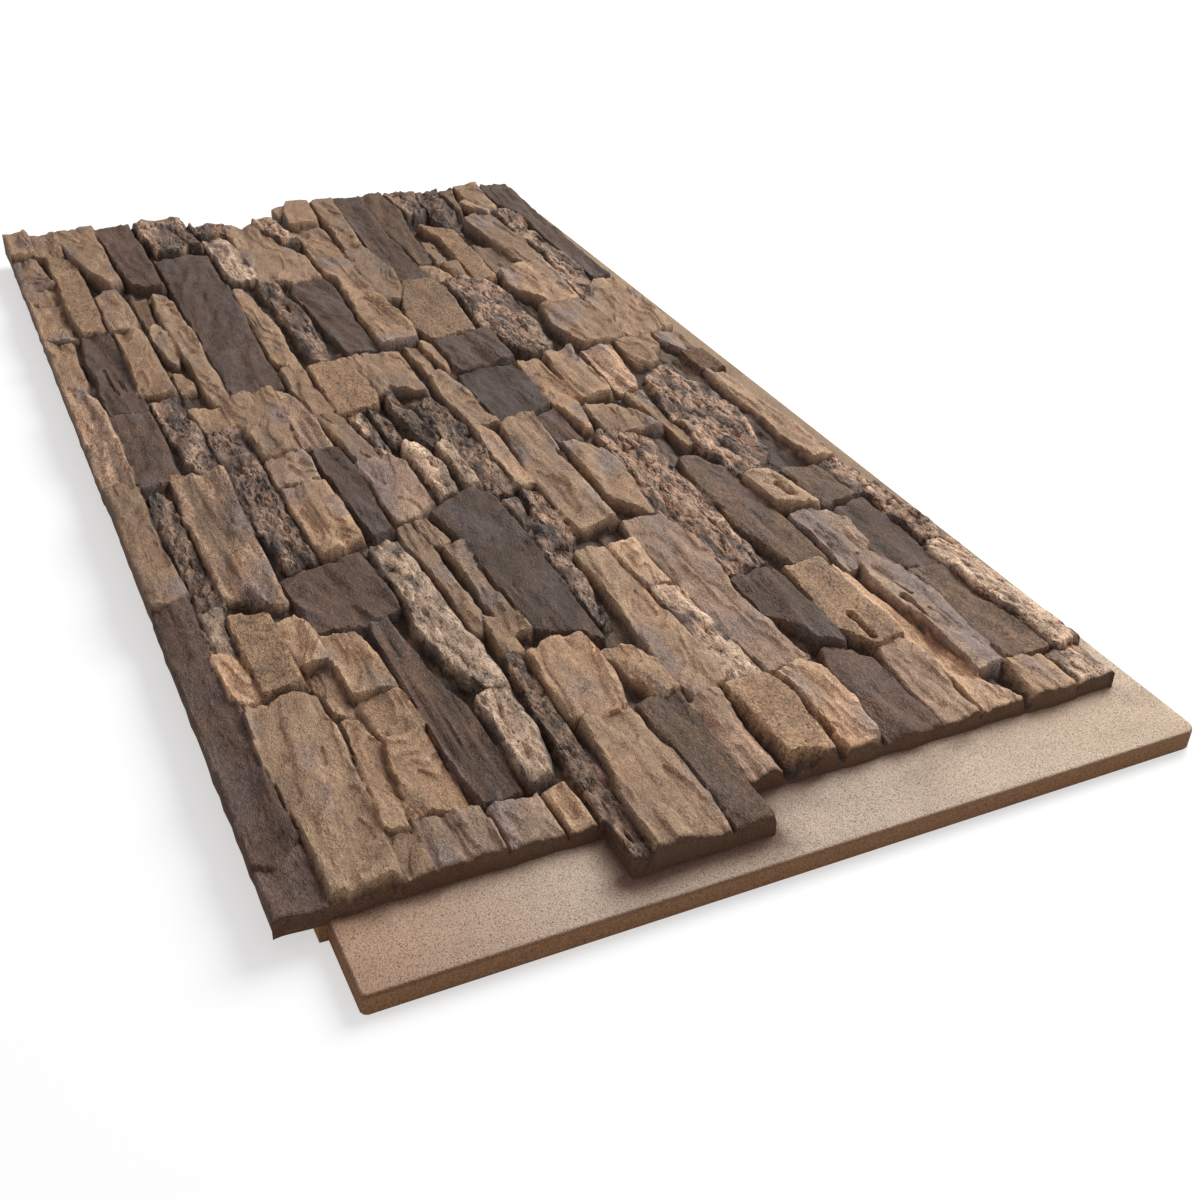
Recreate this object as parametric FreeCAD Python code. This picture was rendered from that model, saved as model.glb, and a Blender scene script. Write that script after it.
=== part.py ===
import FreeCAD
import Part
import math
import os

# Interlocking faux stone wall panel: one piece of rigid moulded foam, lying on its flat back.
# Seen hung on a wall, X runs to the right along the courses, Y up and Z out of the wall.
# A plain board carries a field of stacked ledge stones. The board stands out past the field
# at +X and +Y as a flange for the fasteners. At -X and -Y the field hangs over a recess that
# laps the next panel's flange. A tongue of stones at +X fits the notch at -X of the next panel.
# Lengths are millimetres. The origin is under the middle of the panel, on its back.

PANEL_LENGTH = 1092.0
PANEL_WIDTH = 578.0
BOARD_THICKNESS = 14.0
BOARD_EDGE_ROUND = 2.5

END_FLANGE = 56.0
SIDE_FLANGE = 22.0
LAP_CLEARANCE = 1.5
END_LAP = END_FLANGE + LAP_CLEARANCE
SIDE_LAP = SIDE_FLANGE + LAP_CLEARANCE
FLANGE_CORNER_CUT = 5.0

TONGUE_REACH = 35.0
TONGUE_START = -101.0
TONGUE_END = -11.0
NOTCH_CLEARANCE = 1.0

BED_HEIGHT = 18.0
STONE_ROOT = 1.0
STONE_DRAFT = math.tan(math.radians(11.0))

# The stones, course by course from -Y to +Y. Each is the height of its face at its -X end and
# at its +X end, then the outline of the face, drawn for a field of this size.
DRAWN_FIELD = (-546.0, -289.0, 490.0, 267.0)

COURSE_A = [
    (39, 37, [(-546, -289), (-546, -269), (-491, -267), (-488, -289)]),
    (26, 25, [(-485, -289), (-478, -266), (-406, -260), (-419, -289)]),
    (25, 25, [(-415, -289), (-402, -260), (-364, -256), (-368, -289)]),
    (27, 26, [(-364, -289), (-360, -257), (-275, -261), (-292, -289)]),
    (25, 25, [(-288, -289), (-271, -268), (-213, -267), (-169, -271), (-165, -289)]),
    (29, 29, [(-161, -289), (-163, -274), (-134, -266), (-64, -266), (-64, -289)]),
    (27, 28, [(-61, -289), (-61, -266), (14, -265), (14, -289)]),
    (29, 28, [(17, -289), (17, -265), (174, -264), (185, -276), (185, -289)]),
    (26, 26, [(188, -289), (182, -265), (438, -262), (450, -277), (441, -289)]),
    (25, 25, [(445, -289), (454, -277), (443, -261), (490, -258), (490, -289)]),
]
COURSE_B = [
    (33, 32, [(-546, -265), (-546, -242), (-475, -240), (-485, -263)]),
    (31, 31, [(-479, -254), (-466, -234), (-277, -233), (-277, -256), (-438, -257)]),
    (27, 26, [(-273, -257), (-273, -232), (-112, -231), (-108, -260)]),
    (26, 26, [(-104, -262), (-108, -231), (19, -231), (23, -261)]),
    (24, 24, [(27, -257), (27, -246), (198, -245), (199, -258)]),
    (27, 27, [(203, -262), (203, -247), (252, -247), (252, -262)]),
    (28, 28, [(256, -262), (256, -248), (306, -247), (306, -262)]),
    (31, 31, [(218, -243), (218, -220), (303, -220), (305, -243)]),
]
COURSE_C = [
    (34, 33, [(-546, -238), (-546, -204), (-392, -202), (-376, -213), (-430, -226), (-508, -237)]),
    (31, 31, [(-372, -219), (-372, -209), (-298, -204), (-273, -209), (-273, -229), (-360, -229)]),
    (31, 30, [(-269, -227), (-269, -214), (-252, -207), (-130, -203), (-127, -215), (-139, -228)]),
    (27, 27, [(-121, -226), (-123, -205), (15, -202), (13, -219), (-84, -227)]),
    (29, 29, [(18, -238), (20, -202), (212, -203), (212, -213), (195, -226), (193, -241)]),
    (29, 29, [(230, -214), (226, -203), (258, -198), (288, -197), (288, -214)]),
    (29, 29, [(260, -194), (271, -175), (298, -171), (333, -168), (333, -193), (292, -194)]),
    (28, 28, [(337, -194), (337, -169), (375, -168), (377, -191)]),
    (28, 28, [(380, -191), (380, -168), (446, -166), (446, -197)]),
    (22, 22, [(292, -212), (292, -199), (344, -199), (342, -210)]),
    (27, 27, [(348, -208), (356, -201), (381, -195), (451, -202), (452, -212)]),
    (32, 31, [(322, -259), (319, -229), (326, -219), (432, -215), (486, -220), (489, -254), (362, -260)]),
    (26, 26, [(456, -214), (456, -202), (490, -201), (490, -215)]),
    (27, 27, [(450, -198), (453, -163), (490, -161), (490, -197)]),
    (27, 27, [(455, -158), (456, -127), (490, -126), (490, -157)]),
    (28, 28, [(454, -122), (454, -109), (490, -107), (490, -120)]),
]
COURSE_D = [
    (33, 31, [(-546, -200), (-546, -164), (-363, -165), (-377, -191), (-476, -197)]),
    (26, 26, [(-352, -198), (-352, -186), (-294, -186), (-283, -195)]),
    (28, 28, [(-280, -192), (-280, -186), (-203, -186), (-186, -191), (-243, -198)]),
    (24, 24, [(-179, -197), (-176, -188), (-155, -184), (-134, -185), (-134, -197)]),
    (31, 31, [(-346, -179), (-340, -171), (-320, -164), (-100, -165), (-102, -176), (-238, -181)]),
    (27, 27, [(-96, -198), (-96, -178), (-99, -172), (-55, -170), (-56, -197)]),
    (28, 28, [(-52, -197), (-52, -171), (171, -170), (173, -189), (97, -198)]),
    (25, 25, [(178, -198), (175, -169), (170, -139), (196, -136), (247, -138), (254, -194)]),
    (28, 28, [(257, -160), (255, -149), (298, -145), (378, -135), (448, -133), (450, -159), (328, -164)]),
]
COURSE_E = [
    (35, 34, [(-546, -158), (-546, -110), (-457, -107), (-461, -152)]),
    (29, 28, [(-440, -156), (-437, -108), (-304, -110), (-112, -118), (-108, -159)]),
    (29, 29, [(-336, -104), (-330, -97), (-302, -92), (-227, -89), (-153, -92), (-153, -102), (-172, -107)]),
    (32, 32, [(-96, -167), (-103, -150), (-101, -130), (12, -138), (14, -167)]),
    (31, 31, [(18, -166), (18, -137), (59, -137), (61, -167)]),
    (32, 32, [(65, -166), (65, -135), (157, -134), (164, -165)]),
    (29, 29, [(-100, -125), (-98, -117), (-62, -109), (6, -108), (10, -133)]),
    (28, 28, [(14, -125), (11, -107), (56, -103), (147, -107), (154, -122), (38, -129)]),
    (31, 31, [(171, -131), (167, -120), (172, -110), (300, -106), (355, -105), (357, -119), (301, -131)]),
    (32, 32, [(362, -129), (361, -109), (402, -107), (448, -112), (448, -127)]),
]
COURSE_F = [
    (36, 35, [(-511, -102), (-511, -72), (-484, -71), (-484, -101)]),
    (31, 31, [(-475, -99), (-480, -80), (-438, -74), (-355, -75), (-360, -97)]),
    (29, 29, [(-338, -78), (-335, -62), (-222, -57), (-148, -66), (-148, -80), (-222, -73)]),
    (30, 30, [(-140, -111), (-148, -95), (-51, -91), (-49, -106)]),
    (28, 28, [(-45, -105), (-46, -91), (34, -83), (35, -98)]),
    (31, 31, [(-140, -87), (-140, -55), (-60, -51), (-45, -57), (-45, -87)]),
    (27, 27, [(-40, -81), (-40, -72), (31, -71), (31, -79)]),
    (29, 29, [(38, -99), (36, -75), (58, -69), (123, -69), (138, -87), (139, -99)]),
    (27, 27, [(145, -103), (145, -92), (272, -91), (300, -99)]),
    (28, 28, [(143, -88), (140, -80), (177, -77), (180, -86)]),
    (30, 30, [(184, -82), (188, -70), (307, -69), (306, -81)]),
    (26, 26, [(278, -90), (280, -84), (324, -80), (325, -91)]),
    (29, 29, [(330, -93), (330, -86), (525, -90), (525, -101), (420, -100)]),
    (34, 34, [(333, -80), (326, -60), (328, -42), (375, -40), (404, -47), (406, -64), (403, -81)]),
    (33, 33, [(410, -76), (408, -46), (443, -43), (493, -40), (525, -43), (525, -87), (442, -81)]),
]
COURSE_G = [
    (32, 30, [(-511, -69), (-508, -43), (-440, -33), (-400, -14), (-345, -15), (-335, -45), (-347, -73)]),
    (37, 37, [(-511, -39), (-511, -19), (-436, -13), (-436, -27)]),
    (27, 26, [(-330, -45), (-340, -22), (-336, -14), (-162, -15), (-162, -43), (-320, -50)]),
    (30, 30, [(-142, -50), (-150, -25), (-142, -4), (-62, -4), (-75, -34), (-60, -46)]),
    (31, 31, [(-70, -40), (-70, -34), (30, -28), (30, -37), (-28, -45)]),
    (27, 27, [(-40, -63), (-40, -53), (20, -55), (22, -63)]),
    (31, 31, [(26, -56), (29, -47), (81, -44), (116, -46), (118, -57)]),
    (30, 30, [(34, -31), (34, -24), (108, -23), (113, -32)]),
    (28, 28, [(-43, -20), (-50, -4), (17, 0), (117, -1), (121, -17), (30, -22)]),
    (30, 30, [(140, -74), (128, -58), (120, -36), (123, -23), (332, -25), (323, -37), (308, -63), (183, -68)]),
    (29, 29, [(137, -18), (138, -10), (240, -8), (318, -14), (319, -20)]),
    (29, 29, [(340, -30), (340, -17), (366, -6), (396, -7), (398, -22)]),
    (28, 28, [(405, -38), (401, -24), (402, -9), (489, -12), (525, -13), (525, -37), (490, -35)]),
]
COURSE_H = [
    (34, 34, [(-546, -9), (-546, 8), (-524, 2), (-512, -9)]),
    (41, 38, [(-546, 12), (-546, 30), (-480, 23), (-480, -4), (-512, -2)]),
    (32, 32, [(-475, -5), (-474, 24), (-257, 19), (-196, 26), (-162, 22), (-161, -10), (-296, -5)]),
    (27, 27, [(-155, 8), (-153, 19), (-97, 18), (-97, 7)]),
    (29, 29, [(-157, 24), (-152, 33), (-112, 33), (-92, 27), (-130, 23)]),
    (30, 30, [(-91, 8), (-88, 21), (-40, 30), (15, 30), (16, 6)]),
    (29, 29, [(20, 4), (20, 11), (44, 18), (118, 15), (121, 3)]),
    (27, 27, [(125, 0), (125, 13), (196, 13), (212, 1), (210, -4)]),
    (31, 31, [(231, 1), (229, 24), (400, 27), (408, 14), (409, -2)]),
    (31, 31, [(231, 28), (231, 48), (285, 48), (286, 28)]),
    (27, 27, [(290, 30), (290, 50), (404, 51), (404, 31)]),
    (28, 28, [(413, -5), (412, 14), (480, 13), (490, 10), (490, -8)]),
    (34, 33, [(412, 22), (410, 49), (429, 53), (488, 48), (484, 21)]),
]
COURSE_I = [
    (38, 36, [(-546, 34), (-546, 55), (-440, 50), (-404, 46), (-404, 29)]),
    (31, 31, [(-400, 28), (-400, 52), (-338, 57), (-284, 50), (-262, 38), (-262, 23)]),
    (36, 28, [(-546, 59), (-546, 83), (-440, 84), (-302, 83), (-302, 60), (-420, 56)]),
    (31, 31, [(-298, 57), (-297, 81), (-266, 91), (-168, 80), (-160, 38), (-198, 31), (-258, 43)]),
    (29, 29, [(-155, 38), (-161, 78), (-163, 91), (-98, 91), (-92, 38)]),
    (26, 26, [(-86, 34), (-93, 88), (-5, 84), (8, 60), (16, 34)]),
    (24, 24, [(13, 64), (2, 86), (62, 84), (66, 75), (62, 66)]),
    (30, 30, [(22, 30), (12, 50), (14, 58), (156, 49), (197, 46), (197, 16), (118, 19)]),
    (30, 30, [(71, 63), (71, 73), (96, 85), (120, 88), (197, 81), (160, 60)]),
    (28, 28, [(201, 52), (201, 82), (257, 91), (317, 80), (383, 86), (404, 88), (404, 56), (288, 53)]),
    (31, 31, [(409, 60), (408, 80), (416, 88), (486, 82), (488, 60)]),
]
COURSE_J = [
    (40, 27, [(-546, 87), (-546, 112), (-480, 116), (-354, 106), (-352, 93), (-470, 88)]),
    (28, 28, [(-347, 88), (-343, 103), (-292, 106), (-292, 88)]),
    (27, 27, [(-410, 117), (-408, 126), (-343, 121), (-343, 111)]),
    (29, 29, [(-339, 114), (-338, 130), (-288, 122), (-288, 111)]),
    (34, 33, [(-280, 97), (-280, 119), (-259, 136), (-171, 140), (-116, 136), (-97, 112), (-171, 89)]),
    (27, 27, [(-90, 93), (-86, 108), (-45, 112), (-5, 109), (60, 94), (0, 89)]),
    (29, 29, [(62, 98), (73, 118), (93, 130), (238, 125), (288, 122), (296, 91), (200, 86), (118, 92)]),
    (30, 30, [(302, 90), (300, 119), (360, 121), (398, 118), (383, 104), (340, 90)]),
    (27, 27, [(392, 103), (405, 118), (414, 129), (490, 126), (490, 89), (418, 94)]),
]
COURSE_K = [
    (39, 35, [(-546, 119), (-546, 151), (-484, 145), (-468, 121)]),
    (36, 31, [(-546, 155), (-546, 181), (-478, 172), (-398, 160), (-468, 151)]),
    (31, 31, [(-462, 128), (-443, 136), (-420, 156), (-288, 150), (-284, 130), (-408, 137)]),
    (27, 27, [(-382, 163), (-368, 183), (-310, 182), (-304, 164), (-340, 156)]),
    (31, 31, [(-89, 118), (-93, 141), (0, 139), (2, 113)]),
    (28, 28, [(-97, 156), (-97, 188), (-4, 167), (-4, 150)]),
    (29, 29, [(16, 108), (22, 131), (33, 142), (75, 150), (63, 106)]),
    (30, 30, [(5, 152), (8, 166), (118, 162), (62, 154)]),
    (28, 28, [(128, 138), (128, 153), (157, 165), (299, 168), (299, 138), (180, 130)]),
    (32, 31, [(305, 128), (303, 157), (402, 158), (408, 138), (382, 124)]),
]
COURSE_L = [
    (37, 36, [(-546, 186), (-546, 199), (-498, 191), (-472, 181)]),
    (34, 34, [(-504, 197), (-505, 204), (-467, 216), (-458, 211)]),
    (33, 33, [(-447, 180), (-455, 211), (-372, 214), (-305, 210), (-305, 188), (-422, 179)]),
    (33, 33, [(-296, 161), (-300, 180), (-300, 207), (-200, 203), (-200, 174), (-254, 156)]),
    (32, 32, [(-196, 161), (-196, 203), (-176, 207), (-106, 206), (-103, 160), (-146, 152)]),
    (30, 30, [(-101, 195), (-102, 228), (-80, 226), (-74, 213), (-54, 210), (-49, 194)]),
    (28, 29, [(-28, 187), (-42, 215), (-4, 227), (56, 230), (137, 216), (174, 184), (174, 170), (58, 169)]),
    (32, 32, [(179, 171), (182, 193), (198, 197), (234, 200), (235, 187), (222, 172)]),
    (29, 29, [(240, 174), (240, 204), (264, 208), (298, 203), (318, 177)]),
    (29, 29, [(306, 193), (305, 208), (330, 210), (451, 209), (456, 183), (340, 180)]),
    (28, 28, [(308, 163), (322, 172), (454, 178), (490, 193), (490, 162), (400, 162)]),
    (28, 28, [(412, 137), (408, 156), (490, 155), (490, 131)]),
]
COURSE_M = [
    (41, 36, [(-546, 203), (-546, 229), (-470, 226), (-464, 219), (-508, 208)]),
    (33, 33, [(-458, 218), (-461, 237), (-432, 240), (-408, 232), (-404, 219)]),
    (33, 32, [(-400, 219), (-390, 237), (-293, 239), (-233, 233), (-203, 213)]),
    (36, 28, [(-546, 240), (-546, 267), (-260, 267), (-256, 243), (-436, 244), (-524, 232)]),
    (27, 27, [(-251, 241), (-252, 267), (-128, 267), (-108, 232), (-106, 212), (-200, 213)]),
    (24, 24, [(-106, 240), (-116, 267), (-70, 267), (-66, 246)]),
    (28, 28, [(-58, 238), (-62, 267), (-18, 267), (-14, 242)]),
    (25, 25, [(-10, 244), (-11, 267), (164, 267), (160, 245)]),
    (27, 27, [(176, 206), (173, 239), (224, 242), (235, 206)]),
    (25, 25, [(168, 246), (170, 267), (218, 267), (218, 247)]),
    (27, 26, [(240, 212), (230, 244), (256, 245), (334, 240), (334, 214), (298, 208)]),
    (29, 29, [(223, 251), (223, 267), (268, 267), (304, 260), (304, 248)]),
    (27, 26, [(338, 214), (338, 240), (449, 246), (449, 213)]),
    (31, 32, [(310, 246), (310, 267), (452, 267), (452, 252), (342, 244)]),
    (29, 29, [(455, 208), (455, 233), (490, 234), (490, 205)]),
    (28, 28, [(456, 241), (456, 267), (490, 267), (490, 240)]),
]
COURSES = [COURSE_A, COURSE_B, COURSE_C, COURSE_D, COURSE_E, COURSE_F, COURSE_G,
           COURSE_H, COURSE_I, COURSE_J, COURSE_K, COURSE_L, COURSE_M]

FIELD_START = -PANEL_LENGTH / 2
FIELD_END = PANEL_LENGTH / 2 - END_FLANGE
FIELD_LOW = -PANEL_WIDTH / 2
FIELD_HIGH = PANEL_WIDTH / 2 - SIDE_FLANGE


def prism(outline, bottom, top):
    """A plan outline raised from one height to another."""
    points = [FreeCAD.Vector(x, y, bottom) for x, y in outline]
    face = Part.Face(Part.makePolygon(points + points[:1]))
    return face.extrude(FreeCAD.Vector(0, 0, top - bottom))


def placed(point):
    """A drawn point carried to the field at its real size."""
    low_x, low_y, high_x, high_y = DRAWN_FIELD
    along = (FIELD_END - FIELD_START) / (high_x - low_x)
    across = (FIELD_HIGH - FIELD_LOW) / (high_y - low_y)
    return FreeCAD.Vector(FIELD_START + (point[0] - low_x) * along,
                          FIELD_LOW + (point[1] - low_y) * across, 0)


def mitres(outline):
    """For each corner, the way it moves when both its sides step out by one."""
    moves = []
    for i, corner in enumerate(outline):
        before = (corner - outline[i - 1]).normalize()
        after = (outline[(i + 1) % len(outline)] - corner).normalize()
        out_before = FreeCAD.Vector(-before.y, before.x, 0)
        out_after = FreeCAD.Vector(-after.y, after.x, 0)
        both = out_before + out_after
        moves.append(both * (1.0 / (1.0 + out_before.dot(out_after))))
    return moves


def stone(start_height, end_height, drawn):
    """One ledge stone: a sloping flat face on sides that flare towards the board."""
    outline = [placed(point) for point in drawn]
    start = min(corner.x for corner in outline)
    end = max(corner.x for corner in outline)
    slope = (end_height - start_height) / (end - start)
    level = start_height - slope * start
    middle = (start_height + end_height) / 2.0
    root = BED_HEIGHT - STONE_ROOT
    foot = []
    face = []
    for corner, move in zip(outline, mitres(outline)):
        low = corner + move * (STONE_DRAFT * (middle - root))
        foot.append(FreeCAD.Vector(low.x, low.y, root))
        height = level + slope * (corner.x + move.x * STONE_DRAFT * middle)
        height = height / (1.0 + slope * move.x * STONE_DRAFT)
        high = corner + move * (STONE_DRAFT * (middle - height))
        face.append(FreeCAD.Vector(high.x, high.y, height))
    faces = [Part.Face(Part.makePolygon(foot + foot[:1])), Part.Face(Part.makePolygon(face + face[:1]))]
    for i in range(len(foot)):
        j = (i + 1) % len(foot)
        side = Part.makePolygon([foot[i], foot[j], face[j], face[i], foot[i]])
        faces.append(Part.Face(side))
    solid = Part.Solid(Part.Shell(faces))
    solid.fix(0.001, 0.001, 0.001)
    return solid


# The board, with its free edges rounded and the end flange cut short where the next panel laps.
board_start = FIELD_START + END_LAP
board_low = FIELD_LOW + SIDE_LAP
board_end = PANEL_LENGTH / 2
board_high = PANEL_WIDTH / 2
board = prism([(board_start, board_low), (board_start, board_high), (board_end, board_high),
               (board_end, board_low + FLANGE_CORNER_CUT),
               (FIELD_END, board_low + FLANGE_CORNER_CUT), (FIELD_END, board_low)],
              0.0, BOARD_THICKNESS)
free_edges = []
for edge in board.Edges:
    box = edge.BoundBox
    if box.ZMin < BOARD_THICKNESS - 0.01:
        continue
    if box.XMin > FIELD_END - 0.01 and box.YMin > board_low + 1.0:
        free_edges.append(edge)
    elif box.YMin > board_high - 0.01:
        free_edges.append(edge)
board = board.makeFillet(BOARD_EDGE_ROUND, free_edges)

# The field in plan, with its tongue and notch.
tongue_end = FIELD_END + TONGUE_REACH
notch_end = FIELD_START + TONGUE_REACH + NOTCH_CLEARANCE
notch_low = TONGUE_START - NOTCH_CLEARANCE
notch_high = TONGUE_END + NOTCH_CLEARANCE
field = [(FIELD_START, FIELD_LOW), (FIELD_START, notch_low), (notch_end, notch_low),
         (notch_end, notch_high), (FIELD_START, notch_high), (FIELD_START, FIELD_HIGH),
         (FIELD_END, FIELD_HIGH), (FIELD_END, TONGUE_END), (tongue_end, TONGUE_END),
         (tongue_end, TONGUE_START), (FIELD_END, TONGUE_START), (FIELD_END, FIELD_LOW)]

# The stones stand on a bed in the field and are trimmed flush with its sides.
bed = prism(field, BOARD_THICKNESS, BED_HEIGHT)
stones = [stone(*row) for course in COURSES for row in course]
top = max(solid.BoundBox.ZMax for solid in stones) + STONE_ROOT
relief = bed.multiFuse(stones).common(prism(field, BOARD_THICKNESS, top))
panel = board.fuse(relief).removeSplitter()

os.makedirs("parts", exist_ok=True)
panel.exportStep("parts/panel.step")
print("solids", len(panel.Solids), "valid", panel.isValid(), "faces", len(panel.Faces))
print("size", panel.BoundBox, "volume", panel.Volume)
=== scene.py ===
import bpy
import math
import numpy as np
from mathutils import Matrix, Vector


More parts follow.
